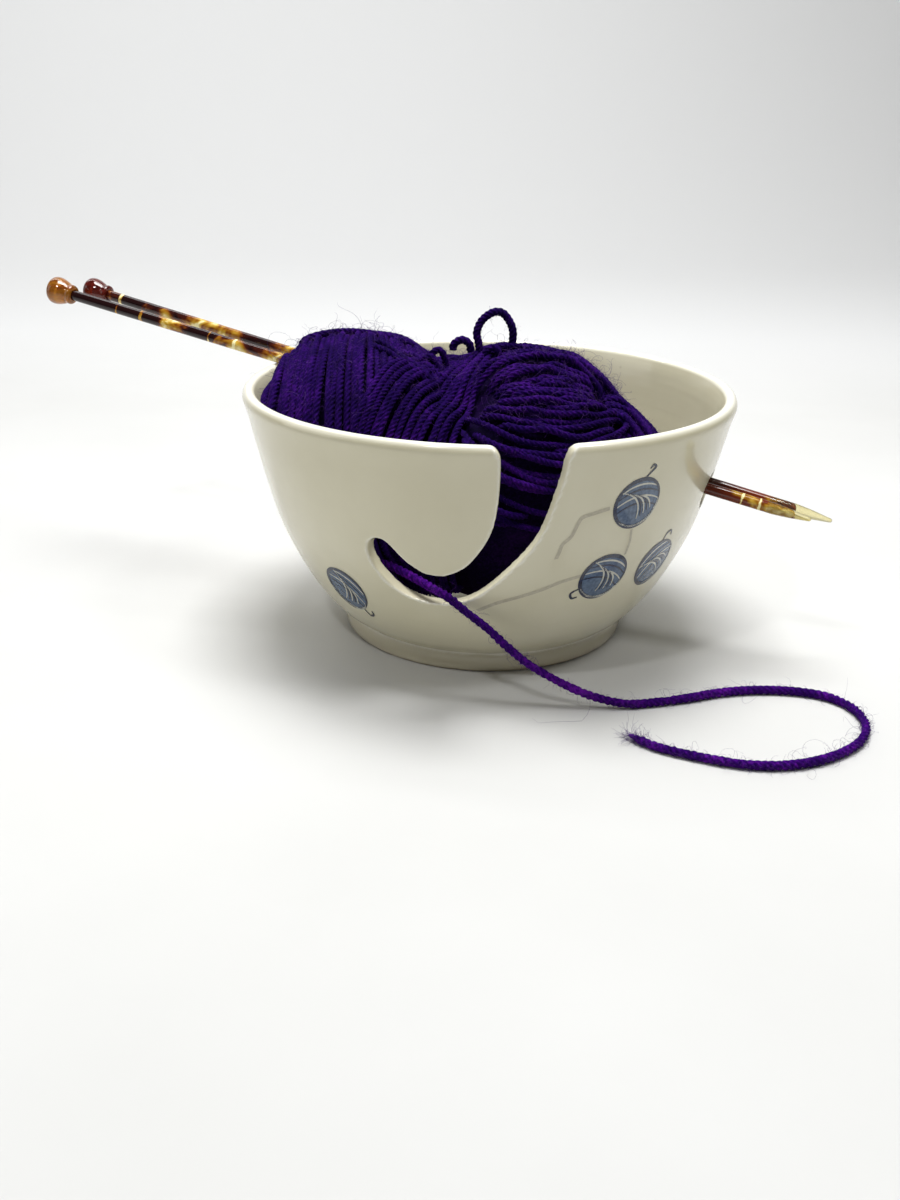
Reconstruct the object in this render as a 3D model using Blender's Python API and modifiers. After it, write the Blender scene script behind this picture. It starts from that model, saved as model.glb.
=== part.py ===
"""Yarn bowl: a thrown bowl with a J-shaped yarn slot, a hole that takes two knitting needles, the pair of
needles with their end knobs, the skein of yarn in the bowl, and the loose end of the yarn, which leaves through
the slot. Metres, +Z up. The origin is the centre of the foot, on the surface that the bowl stands on, and the
slot faces -Y."""

import math

import bmesh
import bpy
from mathutils import Matrix, Vector

# Bowl: the wall's section, as (radius, height) in millimetres, from the middle of the floor inside, up the inner
# wall, over the lip and down the outer wall to the foot. A smooth curve runs through each list.
MM = 0.001
SECTION_INSIDE = ((0, 8.0), (20, 8.1), (36, 9.6), (46, 13.2), (53.5, 18.6), (59.6, 25), (64.8, 33), (69.4, 43),
                  (73.5, 55), (76.8, 68), (78.4, 76), (79.5, 81.4), (80.4, 84.8))
SECTION_LIP = ((80.4, 84.8), (81.2, 86.8), (82.9, 87.6), (84.4, 86.9), (85.1, 85.1), (84.7, 83.2))
SECTION_OUTSIDE = ((84.7, 83.2), (83.6, 79.5), (82.6, 75), (81.0, 68), (77.8, 55), (73.9, 42), (68.5, 30),
                   (62.8, 20), (56.6, 12), (52.3, 8.2), (50.2, 6.7))
SECTION_FOOT = ((50.2, 6.7), (50.8, 5.6), (51.1, 3.2), (50.7, 1.0), (49.8, 0))
LIP_CREST_RADIUS = 0.0829
LIP_CREST_HEIGHT = 0.0876
BOWL_STEPS = 72

# Yarn slot: its outline, as (distance round the wall, height) in millimetres, on a wall of SLOT_RADIUS unrolled
# about SLOT_AZIMUTH. It starts above the lip, runs down the right-hand edge, round the hook and up the tongue.
SLOT_AZIMUTH = math.radians(-97)
SLOT_RADIUS = 0.0762
SLOT_OUTLINE = ((36.5, 93), (35.0, 88.4), (32.2, 86.8), (30.9, 83.6), (30.2, 77), (28.9, 71), (27.6, 65),
                (25.6, 58.5), (22.6, 53), (18.6, 47.8), (14.0, 42.6), (8.8, 37.6), (2.2, 33.6), (-6.0, 31.9),
                (-13.6, 32.5), (-19.8, 34.8), (-24.2, 38.4), (-27.4, 43.0), (-28.9, 47.6), (-28.3, 51.2),
                (-26.0, 53.5), (-23.3, 53.7), (-20.9, 52.3), (-18.0, 49.2), (-14.5, 45.9), (-10.2, 43.4),
                (-5.3, 42.7), (-1.2, 43.8), (3.4, 46.7), (6.8, 50.8), (9.8, 56), (11.6, 61), (12.6, 67.5),
                (13.0, 75), (13.0, 81), (12.6, 84.8), (10.8, 87.2), (8.4, 88.4), (7.0, 93))
SLOT_CUT_RADII = (0.050, 0.110)

# Needle hole, drilled square to the wall.
HOLE_RADIUS = 0.0064
HOLE_AZIMUTH = math.radians(-18.9)
HOLE_HEIGHT = 0.0590
HOLE_WALL_RADIUS = 0.0766
HOLE_WALL_LEAN = math.radians(15)

# Needles. Each lies on the lip and runs down through the hole.
NEEDLE_RADIUS = 0.002
NEEDLE_LENGTH = 0.300
NEEDLE_TAPER = 0.013
NEEDLE_POINT_RADIUS = 0.0007
NEEDLE_LIP_GAP = 0.0003
NEEDLE_SIDES = 24
KNOB_LENGTH = 0.0105
# name: azimuth where it crosses the lip, azimuth and height where it crosses the bowl's outside, and how far the
# point stands out from there.
NEEDLES = {
    "front_needle": (math.radians(162.0), math.radians(-21.0), 0.0596, 0.0347),
    "back_needle": (math.radians(154.6), math.radians(-17.3), 0.0600, 0.0412),
}
HOLE_OUTSIDE_RADIUS = 0.0795
# The knob's section, as (radius, distance from the shaft's side) in millimetres.
KNOB_SECTION = ((2.3, 0.0), (3.3, 0.3), (3.7, 1.2), (3.5, 2.1), (4.2, 3.6), (4.9, 5.6), (5.2, 7.4), (4.9, 9.0),
                (3.8, 10.1), (2.0, 10.5), (0, 10.5))
KNOB_SOCKET_GAP = 0.0002

# Skein: two lobes and the waist between them, pressed into the bowl. centre and half sizes in metres.
SKEIN_TURN = math.radians(-25)
SKEIN_LOBES = {
    "skein_left_lobe": ((-0.040, -0.009, 0.060), (0.042, 0.050, 0.0445)),
    "skein_waist": ((-0.012, -0.006, 0.054), (0.034, 0.048, 0.0445)),
    "skein_right_lobe": ((0.009, -0.006, 0.054), (0.054, 0.051, 0.047)),
}
WAIST_MIDDLE = -0.0070
WAIST_HALF_WIDTH = 0.0085
SKEIN_GAP = 0.0004
SKEIN_WALL_GAP = 0.0006
CHANNEL_RADIUS = 0.0025

# Yarn.
YARN_RADIUS = 0.00145
LOOP_RADIUS = 0.0013
TALL_LOOP = ((-3.4, 1.0, 97.4), (-3.9, 1.0, 101.0), (-4.6, 1.2, 104.6), (-3.0, 1.4, 108.6), (0.6, 1.4, 111.4), (4.0, 1.2, 111.4),
             (6.6, 0.9, 108.5), (7.8, 0.4, 105.2), (7.7, 0.0, 101.2))
SMALL_LOOP = ((-12.6, -2.0, 99.0), (-12.4, -2.0, 101.0), (-9.8, -2.2, 102.6), (-7.2, -2.2, 101.4),
              (-6.5, -2.0, 98.6))
TAIL_ROUTE = ((-40.7, -50.6, 39.8), (-34.6, -53.4, 39.9), (-30.2, -56.4, 39.8), (-25.8, -59.4, 39.0),
              (-20.4, -62.8, 37.5), (-15.8, -66.4, 36.3), (-10.8, -70.2, 34.9), (-5.0, -73.2, 31.3), (1.4, -74.2, 26.6),
              (7.8, -75.0, 20.8), (15.0, -75.4, 15.0), (25.2, -75.4, 9.0), (35.4, -75.1, 4.4), (46.2, -74.4, 1.8),
              (56.0, -72.2, 1.55), (66.8, -68.6, 1.55), (77.6, -64.2, 1.55),
              (89.2, -61.6, 1.55), (101.6, -61.6, 1.55), (111.8, -64.8, 1.55), (118.0, -72.2, 1.55),
              (119.4, -82.4, 1.55), (115.8, -92.4, 1.55), (108.4, -100.6, 1.55), (98.6, -106.8, 1.55),
              (88.4, -110.0, 1.55), (77.6, -110.2, 1.55), (68.2, -107.8, 1.55), (59.8, -104.6, 1.55),
              (53.0, -101.4, 1.55), (48.4, -97.6, 1.55), (45.2, -94.4, 1.55))
YARN_POINT_SPACING = 0.0042
LOOP_POINT_SPACING = 0.0022

COLOURS = {
    "glaze": ((0.80, 0.77, 0.68), 0.22),
    "tortoiseshell": ((0.12, 0.03, 0.015), 0.12),
    "amber": ((0.60, 0.24, 0.03), 0.12),
    "burgundy": ((0.20, 0.03, 0.02), 0.12),
    "yarn": ((0.055, 0.008, 0.13), 0.9),
}


# ---------------------------------------------------------------- scene helpers

def clear_scene():
    for obj in list(bpy.data.objects):
        bpy.data.objects.remove(obj, do_unlink=True)


def make_collection(name):
    group = bpy.data.collections.new(name)
    bpy.context.scene.collection.children.link(group)
    return group


def make_material(name):
    colour, roughness = COLOURS[name]
    material = bpy.data.materials.new(name)
    material.use_nodes = True
    shader = material.node_tree.nodes["Principled BSDF"]
    shader.inputs["Base Color"].default_value = (*colour, 1)
    shader.inputs["Roughness"].default_value = roughness
    material.diffuse_color = (*colour, 1)
    return material


def add_object(name, data, group, material=None):
    obj = bpy.data.objects.new(name, data)
    group.objects.link(obj)
    if material:
        data.materials.append(material)
    return obj


def shade_smooth(obj, angle=math.radians(40)):
    obj.data.shade_smooth()
    obj.data.set_sharp_from_angle(angle=angle)


def as_mesh(obj):
    """Swap an object for a plain mesh of what its curve or its modifiers make."""
    evaluated = obj.evaluated_get(bpy.context.evaluated_depsgraph_get())
    mesh = bpy.data.meshes.new_from_object(evaluated)
    bm = bmesh.new()
    bm.from_mesh(mesh)
    bmesh.ops.remove_doubles(bm, verts=bm.verts, dist=0.00001)
    bm.to_mesh(mesh)
    bm.free()
    name = obj.name
    solid = bpy.data.objects.new(name + ".solid", mesh)
    solid.matrix_world = obj.matrix_world.copy()
    obj.users_collection[0].objects.link(solid)
    bpy.data.objects.remove(obj, do_unlink=True)
    solid.name = name
    return solid


def mark_cutter(obj):
    obj.hide_render = True
    obj.display_type = "WIRE"
    return obj


def cut(obj, cutter, operation="DIFFERENCE"):
    modifier = obj.modifiers.new(cutter.name, "BOOLEAN")
    modifier.operation = operation
    modifier.solver = "EXACT"
    modifier.object = cutter


# ---------------------------------------------------------------- curves and sections

def smooth_path(points, per_span):
    """A Catmull-Rom curve through the points, with per_span steps between one point and the next."""
    knots = [Vector(p) for p in points]
    ends = [2 * knots[0] - knots[1]], [2 * knots[-1] - knots[-2]]
    knots = ends[0] + knots + ends[1]
    path = []
    for a, b, c, d in zip(knots, knots[1:], knots[2:], knots[3:]):
        for step in range(per_span):
            t = step / per_span
            path.append(0.5 * (2 * b + (c - a) * t + (2 * a - 5 * b + 4 * c - d) * t * t
                               + (3 * b - a - 3 * c + d) * t ** 3))
    return path + [knots[-2]]


def even_path(points, spacing):
    """The smooth curve through the points, read at even steps of about the spacing."""
    fine = smooth_path(points, 24)
    lengths = [0.0]
    for a, b in zip(fine, fine[1:]):
        lengths.append(lengths[-1] + (b - a).length)
    count = max(2, round(lengths[-1] / spacing))
    path = []
    at = 0
    for step in range(count + 1):
        goal = lengths[-1] * step / count
        while at < len(fine) - 2 and lengths[at + 1] < goal:
            at += 1
        share = (goal - lengths[at]) / (lengths[at + 1] - lengths[at])
        path.append(fine[at].lerp(fine[at + 1], min(max(share, 0.0), 1.0)))
    return path


def turned(name, section, steps, group, material=None):
    """A solid of revolution about Z. The section runs from the axis at the top to the axis at the bottom."""
    mesh = bpy.data.meshes.new(name)
    corners = [(radius, 0, height) for radius, height in section]
    mesh.from_pydata(corners, [(i, i + 1) for i in range(len(corners) - 1)], [])
    obj = add_object(name, mesh, group, material)
    screw = obj.modifiers.new("turn", "SCREW")
    screw.steps = steps
    screw.render_steps = steps
    screw.use_merge_vertices = True
    screw.merge_threshold = 0.00002
    return obj


def bowl_section():
    """The whole wall's section in metres, from the axis inside to the axis under the foot."""
    section = smooth_path(SECTION_INSIDE, 1)[:-1]
    section += smooth_path(SECTION_LIP, 2)[:-1]
    section += smooth_path(SECTION_OUTSIDE, 2)[:-1]
    section += smooth_path(SECTION_FOOT, 2)
    return [(p[0] * MM, p[1] * MM) for p in section] + [(0, 0)]


def yarn_tube(name, points, radius, spacing, group, material):
    """A round yarn along a smooth curve through points given in millimetres."""
    curve = bpy.data.curves.new(name, "CURVE")
    curve.dimensions = "3D"
    curve.bevel_depth = radius
    curve.bevel_resolution = 2
    curve.use_fill_caps = True
    path = even_path([Vector(p) * MM for p in points], spacing)
    spline = curve.splines.new("POLY")
    spline.points.add(len(path) - 1)
    for knot, place in zip(spline.points, path):
        knot.co = (*place, 1)
    return add_object(name, curve, group, material)


# ---------------------------------------------------------------- bowl

def slot_cutter(group):
    """The J-shaped outline, thickened into a slab and wrapped round the bowl's axis."""
    curve = bpy.data.curves.new("slot_cutter", "CURVE")
    curve.dimensions = "2D"
    curve.fill_mode = "BOTH"
    curve.extrude = (SLOT_CUT_RADII[1] - SLOT_CUT_RADII[0]) / 2
    outline = smooth_path(SLOT_OUTLINE, 2)
    spline = curve.splines.new("POLY")
    spline.points.add(len(outline) - 1)
    spline.use_cyclic_u = True
    for knot, place in zip(spline.points, outline):
        knot.co = (place[0] * MM, place[1] * MM, 0, 1)
    cutter = as_mesh(add_object("slot_cutter", curve, group))
    middle = sum(SLOT_CUT_RADII) / 2
    for vertex in cutter.data.vertices:
        along, height, depth = vertex.co
        angle = SLOT_AZIMUTH + along / SLOT_RADIUS
        radius = middle + depth
        vertex.co = (radius * math.cos(angle), radius * math.sin(angle), height)
    make_flat_faces(cutter.data)
    return mark_cutter(cutter)


def make_flat_faces(mesh):
    """Triangles only, facing outward, so that no face of a cutter is twisted."""
    bm = bmesh.new()
    bm.from_mesh(mesh)
    bmesh.ops.recalc_face_normals(bm, faces=bm.faces)
    bmesh.ops.triangulate(bm, faces=bm.faces)
    bm.to_mesh(mesh)
    bm.free()


def rod(name, start, end, radius, sides, group, material=None):
    """A cylinder from start to end."""
    axis = end - start
    mesh = bpy.data.meshes.new(name)
    bm = bmesh.new()
    bmesh.ops.create_cone(bm, cap_ends=True, segments=sides, radius1=radius, radius2=radius, depth=axis.length)
    bm.to_mesh(mesh)
    bm.free()
    obj = add_object(name, mesh, group, material)
    obj.matrix_world = Matrix.Translation((start + end) / 2) @ axis.to_track_quat("Z", "Y").to_matrix().to_4x4()
    return obj


def hole_cutter(group):
    outward = Vector((math.cos(HOLE_AZIMUTH), math.sin(HOLE_AZIMUTH), 0))
    normal = outward * math.cos(HOLE_WALL_LEAN) - Vector((0, 0, math.sin(HOLE_WALL_LEAN)))
    middle = outward * HOLE_WALL_RADIUS + Vector((0, 0, HOLE_HEIGHT))
    reach = normal * 0.02
    return mark_cutter(rod("hole_cutter", middle - reach, middle + reach, HOLE_RADIUS, 32, group))


def make_bowl(parts, cutters):
    bowl = turned("bowl", bowl_section(), BOWL_STEPS, parts, make_material("glaze"))
    cut(bowl, slot_cutter(cutters))
    cut(bowl, hole_cutter(cutters))
    return bowl


# ---------------------------------------------------------------- needles

def needle_line(name):
    """The needle's axis: a unit vector from its knob to its point, and the place where it leaves the bowl."""
    lip_azimuth, hole_azimuth, hole_height, _ = NEEDLES[name]
    over_lip = LIP_CREST_HEIGHT + NEEDLE_RADIUS * 1.02 + NEEDLE_LIP_GAP
    on_lip = Vector((LIP_CREST_RADIUS * math.cos(lip_azimuth), LIP_CREST_RADIUS * math.sin(lip_azimuth), over_lip))
    at_hole = Vector((HOLE_OUTSIDE_RADIUS * math.cos(hole_azimuth),
                      HOLE_OUTSIDE_RADIUS * math.sin(hole_azimuth), hole_height))
    return (at_hole - on_lip).normalized(), at_hole


def shaft_section():
    """From the point back to the end inside the knob, as (radius, distance back from the point)."""
    back = NEEDLE_LENGTH - 0.004
    return [(0, 0), (NEEDLE_POINT_RADIUS * 0.7, 0.0002), (NEEDLE_POINT_RADIUS, 0.0007),
            (NEEDLE_RADIUS * 0.78, NEEDLE_TAPER * 0.55), (NEEDLE_RADIUS * 0.96, NEEDLE_TAPER * 0.88),
            (NEEDLE_RADIUS, NEEDLE_TAPER), (NEEDLE_RADIUS, back), (0, back)]


def make_needle(name, knob_colour, parts):
    """Shaft and knob share a frame on the needle's axis, with the origin at the needle's point."""
    axis, at_hole = needle_line(name)
    point = at_hole + axis * NEEDLES[name][3]
    frame = bpy.data.objects.new(name + "_axis", None)
    parts.objects.link(frame)
    frame.matrix_world = Matrix.Translation(point) @ axis.to_track_quat("Z", "Y").to_matrix().to_4x4()

    section = [(radius, -back) for radius, back in shaft_section()]
    shaft = turned(name + "_shaft", section, NEEDLE_SIDES, parts, make_material("tortoiseshell"))
    shaft.parent = frame

    knob_start = KNOB_LENGTH - NEEDLE_LENGTH
    socket_radius = NEEDLE_RADIUS + KNOB_SOCKET_GAP
    socket_floor = 0.004 - NEEDLE_LENGTH - KNOB_SOCKET_GAP
    section = [(0, socket_floor), (socket_radius, socket_floor), (socket_radius, knob_start)]
    section += [(radius * MM, knob_start - back * MM) for radius, back in KNOB_SECTION]
    knob = turned(name + "_knob", section, NEEDLE_SIDES, parts, make_material(knob_colour))
    knob.parent = frame
    return shaft, knob


# ---------------------------------------------------------------- skein

def bowl_space(group):
    """The room inside the bowl, a little inside its wall, carried straight up above the lip."""
    wall = [(max(p[0] * MM - SKEIN_WALL_GAP, 0), p[1] * MM + SKEIN_WALL_GAP)
            for p in smooth_path(SECTION_INSIDE[:-2], 1)]
    top = 0.130
    section = [(0, top), (wall[-1][0], top)] + wall[::-1]
    return mark_cutter(turned("bowl_space", section, 48, group))


def ellipsoid(name, centre, half_sizes, group, material):
    mesh = bpy.data.meshes.new(name)
    bm = bmesh.new()
    bmesh.ops.create_uvsphere(bm, u_segments=28, v_segments=18, radius=1)
    bmesh.ops.scale(bm, vec=half_sizes, verts=bm.verts)
    bm.to_mesh(mesh)
    bm.free()
    obj = add_object(name, mesh, group, material)
    obj.location = centre
    return obj


def slab(name, low, high, group):
    """A tall block between two planes that face along the skein's length."""
    mesh = bpy.data.meshes.new(name)
    bm = bmesh.new()
    bmesh.ops.create_cube(bm, size=1)
    bmesh.ops.scale(bm, vec=(high - low, 0.24, 0.24), verts=bm.verts)
    bmesh.ops.translate(bm, vec=((high + low) / 2, 0, 0.06), verts=bm.verts)
    bm.to_mesh(mesh)
    bm.free()
    block = add_object(name, mesh, group)
    block.rotation_euler = (0, 0, SKEIN_TURN)
    return mark_cutter(block)


def needle_channel(name, group):
    axis, at_hole = needle_line(name)
    return mark_cutter(rod(name + "_channel", at_hole - axis * 0.22, at_hole + axis * 0.03, CHANNEL_RADIUS, 16, group))


def make_skein(parts, cutters, yarn):
    low = WAIST_MIDDLE - WAIST_HALF_WIDTH
    high = WAIST_MIDDLE + WAIST_HALF_WIDTH
    blocks = {
        "skein_left_lobe": slab("left_block", -0.15, low - SKEIN_GAP, cutters),
        "skein_waist": slab("waist_block", low, high, cutters),
        "skein_right_lobe": slab("right_block", high + SKEIN_GAP, 0.15, cutters),
    }
    space = bowl_space(cutters)
    channels = [needle_channel(name, cutters) for name in NEEDLES]
    for name, (centre, half_sizes) in SKEIN_LOBES.items():
        lobe = ellipsoid(name, centre, half_sizes, parts, yarn)
        cut(lobe, space, "INTERSECT")
        cut(lobe, blocks[name], "INTERSECT")
        for channel in channels:
            cut(lobe, channel)


# ---------------------------------------------------------------- the whole

def main():
    clear_scene()
    parts = make_collection("yarn_bowl")
    cutters = make_collection("cutters")
    yarn = make_material("yarn")
    bowl = make_bowl(parts, cutters)
    make_needle("front_needle", "amber", parts)
    make_needle("back_needle", "burgundy", parts)
    make_skein(parts, cutters, yarn)
    yarn_tube("pull_loop_tall", TALL_LOOP, LOOP_RADIUS, LOOP_POINT_SPACING, parts, yarn)
    yarn_tube("pull_loop_small", SMALL_LOOP, LOOP_RADIUS, LOOP_POINT_SPACING, parts, yarn)
    yarn_tube("yarn_tail", TAIL_ROUTE, YARN_RADIUS, YARN_POINT_SPACING, parts, yarn)
    shade_smooth(bowl)


main()
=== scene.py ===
import math

import bmesh
import bpy
import numpy as np
from mathutils import Euler, Matrix, Vector


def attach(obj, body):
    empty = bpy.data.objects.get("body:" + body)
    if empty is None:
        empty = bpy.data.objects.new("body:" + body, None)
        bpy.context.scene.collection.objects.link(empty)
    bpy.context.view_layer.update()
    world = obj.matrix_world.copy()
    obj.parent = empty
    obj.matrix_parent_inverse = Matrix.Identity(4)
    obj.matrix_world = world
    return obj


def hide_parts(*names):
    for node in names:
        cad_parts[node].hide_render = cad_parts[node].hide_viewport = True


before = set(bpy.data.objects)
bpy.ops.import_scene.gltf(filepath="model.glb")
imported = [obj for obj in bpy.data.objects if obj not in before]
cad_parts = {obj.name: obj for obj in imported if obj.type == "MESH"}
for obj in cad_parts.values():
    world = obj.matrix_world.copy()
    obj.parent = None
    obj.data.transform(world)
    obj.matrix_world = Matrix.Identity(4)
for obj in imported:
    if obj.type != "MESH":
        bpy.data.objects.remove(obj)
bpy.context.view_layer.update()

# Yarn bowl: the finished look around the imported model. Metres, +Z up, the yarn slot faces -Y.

MM = 0.001
RANDOM = np.random.default_rng(7)

# Bowl section, slot outline and hole, in millimetres, as in the CAD.
SECTION_INSIDE = ((0, 8.0), (20, 8.1), (36, 9.6), (46, 13.2), (53.5, 18.6), (59.6, 25), (64.8, 33), (69.4, 43),
                  (73.5, 55), (76.8, 68), (78.4, 76), (79.5, 81.4), (80.4, 84.8))
SECTION_LIP = ((80.4, 84.8), (81.2, 86.8), (82.9, 87.6), (84.4, 86.9), (85.1, 85.1), (84.7, 83.2))
SECTION_OUTSIDE = ((84.7, 83.2), (83.6, 79.5), (82.6, 75), (81.0, 68), (77.8, 55), (73.9, 42), (68.5, 30),
                   (62.8, 20), (56.6, 12), (52.3, 8.2), (50.2, 6.7))
SECTION_FOOT = ((50.2, 6.7), (50.8, 5.6), (51.1, 3.2), (50.7, 1.0), (49.8, 0))
SLOT_AZIMUTH = math.radians(-97)
SLOT_RADIUS = 76.2
SLOT_OUTLINE = ((36.5, 93), (35.0, 88.4), (32.2, 86.8), (30.9, 83.6), (30.2, 77), (28.9, 71), (27.6, 65),
                (25.6, 58.5), (22.6, 53), (18.6, 47.8), (14.0, 42.6), (8.8, 37.6), (2.2, 33.6), (-6.0, 31.9),
                (-13.6, 32.5), (-19.8, 34.8), (-24.2, 38.4), (-27.4, 43.0), (-28.9, 47.6), (-28.3, 51.2),
                (-26.0, 53.5), (-23.3, 53.7), (-20.9, 52.3), (-18.0, 49.2), (-14.5, 45.9), (-10.2, 43.4),
                (-5.3, 42.7), (-1.2, 43.8), (3.4, 46.7), (6.8, 50.8), (9.8, 56), (11.6, 61), (12.6, 67.5),
                (13.0, 75), (13.0, 81), (12.6, 84.8), (10.8, 87.2), (8.4, 88.4), (7.0, 93))
SLOT_CUT_RADII = (55, 100)
# Grain of the remeshed bowl, in metres. Its points within SECTION_FIRM of the section are put on it, and those
# past SECTION_LOOSE stay where they are.
BOWL_GRAIN = 0.6 * MM
SECTION_FIRM = 0.10
SECTION_LOOSE = 0.30
HOLE_RADIUS = 6.4
HOLE_AZIMUTH = math.radians(-18.9)
HOLE_HEIGHT = 59.0
HOLE_WALL_RADIUS = 76.6
HOLE_WALL_LEAN = math.radians(15)

# Needles, in millimetres: azimuth over the lip, azimuth and height where each leaves the bowl, and its reach.
NEEDLES = {
    "front_needle": (math.radians(162.0), math.radians(-21.0), 59.6, 34.7),
    "back_needle": (math.radians(154.6), math.radians(-17.3), 60.0, 41.2),
}
LIP_CREST = (82.9, 87.6)
HOLE_OUTSIDE_RADIUS = 79.5
NEEDLE_RADIUS = 2.0
NEEDLE_OVER_LIP = NEEDLE_RADIUS * 1.02 + 0.3
NEEDLE_LENGTH = 300.0
NEEDLE_TAPER = 13.0
# The patterned shell stands a little inside the clear point, with a rounded nose, and ends inside the knob.
SHAFT_END = NEEDLE_LENGTH - 4
SHELL_NOSE = 4.5
SHELL_FIT = 0.985
POINT_OVERLAP = 9
# The knob: its length, its socket's radius and the thickness left at its end, and its outside from neck to end.
KNOB_LENGTH = 10.5
KNOB_SOCKET = (2.2, 4.2)
KNOB_SECTION = ((2.3, 0.0), (3.3, 0.3), (3.7, 1.2), (3.5, 2.1), (4.2, 3.6), (4.9, 5.6), (5.2, 7.4), (4.9, 9.0),
                (3.8, 10.1), (2.0, 10.5), (0, 10.5))

# Yarn, in millimetres. The routes are the CAD's.
YARN_RADIUS = 1.45
LOOP_RADIUS = 1.48
PLY_PITCH = 7.6
PLY_OFFSET = 0.55
PLY_SIZE = 0.45
FIBRE_FLOOR = 0.25
TALL_LOOP = ((-3.4, 1.0, 97.4), (-3.9, 1.0, 101.0), (-4.6, 1.2, 104.6), (-3.0, 1.4, 108.6), (0.6, 1.4, 111.4),
             (4.0, 1.2, 111.4), (6.6, 0.9, 108.5), (7.8, 0.4, 105.2), (7.7, 0.0, 101.2))
SMALL_LOOP = ((-12.6, -2.0, 99.0), (-12.4, -2.0, 101.0), (-9.8, -2.2, 102.6), (-7.2, -2.2, 101.4),
              (-6.5, -2.0, 98.6))
TAIL_ROUTE = ((-40.7, -50.6, 39.8), (-34.6, -53.4, 39.9), (-30.2, -56.4, 39.8), (-25.8, -59.4, 39.0),
              (-20.4, -62.8, 37.5), (-15.8, -66.4, 36.3), (-10.8, -70.2, 34.9), (-5.0, -73.2, 31.3),
              (1.4, -74.2, 26.6), (7.8, -75.0, 20.8), (15.0, -75.4, 15.0), (25.2, -75.4, 9.0), (35.4, -75.1, 4.4),
              (46.2, -74.4, 1.8), (56.0, -72.2, 1.55), (66.8, -68.6, 1.55), (77.6, -64.2, 1.55),
              (89.2, -61.6, 1.55), (101.6, -61.6, 1.55), (111.8, -64.8, 1.55), (118.0, -72.2, 1.55),
              (119.4, -82.4, 1.55), (115.8, -92.4, 1.55), (108.4, -100.6, 1.55), (98.6, -106.8, 1.55),
              (88.4, -110.0, 1.55), (77.6, -110.2, 1.55), (68.2, -107.8, 1.55), (59.8, -104.6, 1.55),
              (53.0, -101.4, 1.55), (48.4, -97.6, 1.55), (45.2, -94.4, 1.55))

# Skein, in millimetres: centre and half sizes of its lobes, as in the CAD, then the direction of its length and
# where the waist lies along it. Outward directions are read from a line through SKEIN_MIDDLE, as long as
# MIDDLE_SPAN, and stretched a little.
LEFT_LOBE = np.array(((-40, -9, 60), (42, 50, 44.5)))
WAIST = np.array(((-12, -6, 54), (34, 48, 44.5)))
RIGHT_LOBE = np.array(((9.0, -6, 54), (54, 51, 47)))
SKEIN_LINE = np.array((math.cos(math.radians(-25)), math.sin(math.radians(-25)), 0))
WAIST_SPAN = (-15.0, 6.0)
WAIST_MIDDLE = -4.5
SKEIN_MIDDLE = np.array((-14.0, -5.0, 58.0))
MIDDLE_SPAN = (-22, 30)
NORMAL_STRETCH = np.array((50.0, 50.0, 45.0))
# A strand's radius, the fewest points it is laid with and how deep its ends dip, then how deep the cores lie.
SKEIN_STRAND = 1.18
SHORTEST_RUN = 10
END_DIP = 3.5
CORE_DEPTH = 4.6
# Where the skein's surface stands in from the lobes (positive) or out: place, reach each way, depth.
DENTS = (((-13, -9, 98), (13, 30, 26), 3.6), ((-30, -14, 100), (7, 11, 9), 4.0),
         ((54, 0, 90), (17, 26, 15), 5.5), ((-9, -33, 91), (9, 9, 9), 4.5),
         ((-61, 8, 88), (17, 24, 16), -6.0), ((4, -56, 38), (30, 22, 17), 6.0))
# The right lobe is wound from the notch at the waist to a pole under its ridge. A strand of each rank stops
# this far from the line between them, and the ranks take turns.
NOTCH = np.array((-9.0, -31.5, 89.5))
RIGHT_POLE = np.array((45.0, -17.0, 85.5))
RANK_STOPS = (2.5, 6.0, 13.0, 24.0)
RANK_ORDER = (0, 3, 2, 3, 1, 3, 2, 3)


# ---------------------------------------------------------------- camera, floor and light

# The photograph's viewpoint: the camera's place (metres) and its turns about X, Y and Z (degrees).
CAMERA_PLACE = (-0.0006, -0.41613, 0.17752)
CAMERA_ANGLES = (67.5001, -0.787, 1.9566)
TENT_COLOUR = (1.0, 0.99, 0.95, 1)
TENT_STRENGTH = 0.10
# Each lamp's place, what it is aimed at, its size both ways (metres) and its power (watts).
LAMPS = {
    "overhead": ((0.0, 0.06, 0.95), (0, 0, 0.03), (0.42, 0.38), 9.3),
    "right_lamp": ((0.45, -0.22, 0.76), (0, 0, 0.04), (0.14, 0.14), 1.45),
    "left_lamp": ((-0.27, -0.48, 0.76), (0, 0, 0.04), (0.05, 0.05), 1.2),
    "left_panel": ((-0.9, -0.1, 0.35), (0, 0, 0.05), (0.5, 0.5), 0.9),
    "backdrop_light": ((-0.6, 0.9, 1.7), (-0.4, 1.8, 0.6), (2.2, 0.5), 27.0),
}
# The table reaches this far each way, and curves up behind into the backdrop. Metres.
TABLE_REACH = 3.0
SWEEP_START = 1.0
SWEEP_RADIUS = 0.8
BACKDROP_TOP = 3.0


def make_camera():
    data = bpy.data.cameras.new("camera")
    data.sensor_fit = "AUTO"
    data.sensor_width = 36
    data.lens = 36
    camera = bpy.data.objects.new("camera", data)
    bpy.context.scene.collection.objects.link(camera)
    turn = Euler([math.radians(angle) for angle in CAMERA_ANGLES]).to_matrix().to_4x4()
    camera.matrix_world = Matrix.Translation(CAMERA_PLACE) @ turn
    bpy.context.scene.camera = camera


def area_light(name, place, aim, size, power):
    data = bpy.data.lights.new(name, "AREA")
    data.shape = "RECTANGLE"
    data.size, data.size_y = size
    data.energy = power
    light = bpy.data.objects.new(name, data)
    light.location = place
    light.rotation_euler = (Vector(aim) - Vector(place)).to_track_quat("-Z", "Y").to_euler()
    bpy.context.scene.collection.objects.link(light)


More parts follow.
